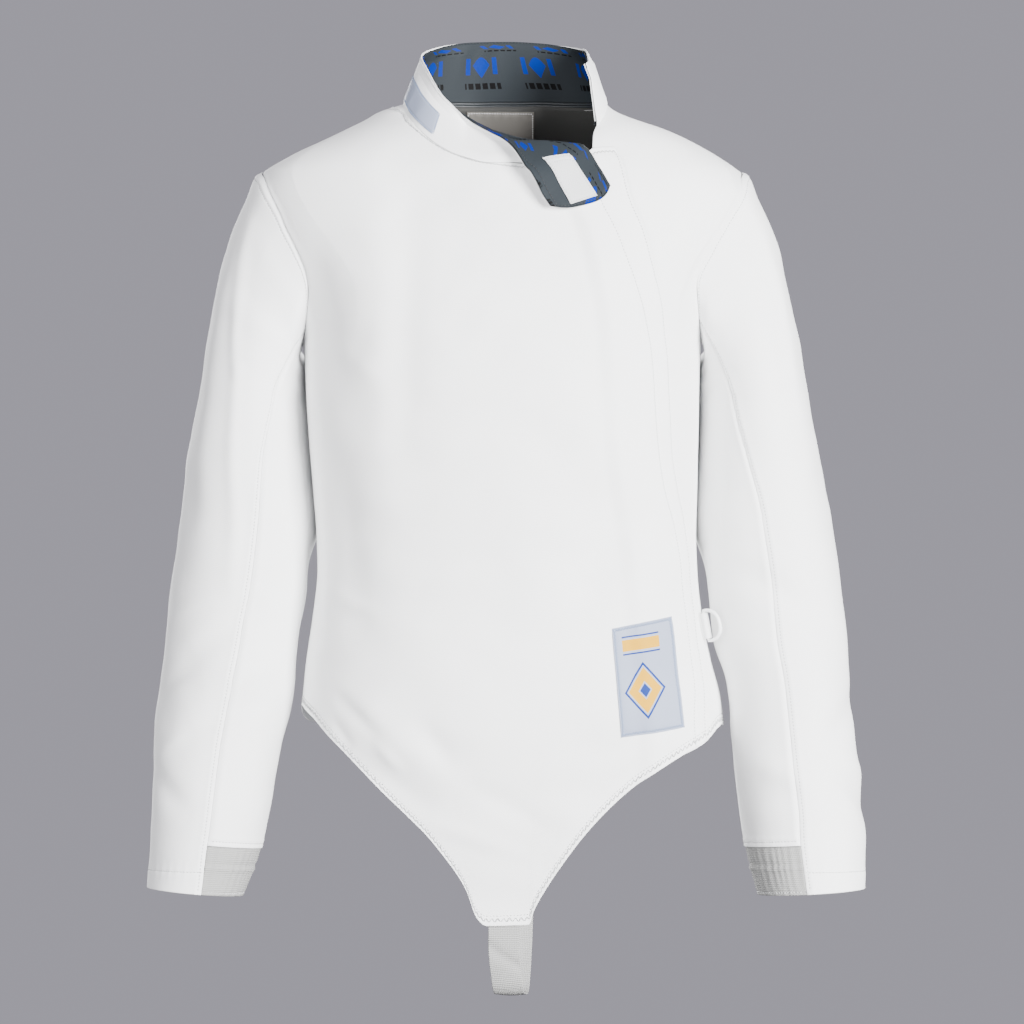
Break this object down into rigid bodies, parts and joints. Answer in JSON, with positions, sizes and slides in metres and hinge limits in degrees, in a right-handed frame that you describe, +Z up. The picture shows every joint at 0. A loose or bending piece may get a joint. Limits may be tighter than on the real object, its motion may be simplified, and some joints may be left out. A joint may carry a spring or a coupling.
{
  "type": "fencing jacket",
  "caption": "White fencing jacket in its worn form, with a side closure, a folded collar tab, a pointed front hem, a crotch strap and a swinging D-ring.",
  "frame": {"origin": "middle of the base of the neck, where the worn form is held", "axes": "+X to the wearer's left, -Y to the front, +Z up"},
  "size_m": [0.6365, 0.2372, 0.8605],
  "materials": {
    "jacket_cloth": "matt white stretch cloth",
    "elastic": "ribbed white elastic",
    "collar_lining": "grey satin",
    "hook_and_loop": "fluffy loop pile",
    "label_lilac": "woven pale lilac",
    "label_cream": "plain cream tape",
    "ring_plastic": "smooth white moulding"
  },
  "bodies": {
    "jacket": {"front_right": "jacket_cloth", "front_left": "jacket_cloth", "back": "jacket_cloth", "sleeve_outer_right": "jacket_cloth", "sleeve_outer_left": "jacket_cloth", "sleeve_under_right": "jacket_cloth", "sleeve_under_left": "jacket_cloth", "cuff_elastic_right": "elastic", "cuff_elastic_left": "elastic", "collar_shell": "jacket_cloth", "collar_lining": "collar_lining", "collar_fastener": "hook_and_loop", "label_collar": "label_lilac", "label_front": "label_lilac", "label_neck": "label_cream", "crotch_strap": "elastic", "ring_tab": "jacket_cloth"},
    "ring": {"d_ring": "ring_plastic"}
  },
  "joints": [
    {"name": "ring_swing", "type": "hinge", "parent": "jacket", "child": "ring", "pos_m": [0.1785, -0.0345, -0.4495], "axis": [-0.1847, 0, 0.9828], "range_deg": [-60, 15]}
  ]
}
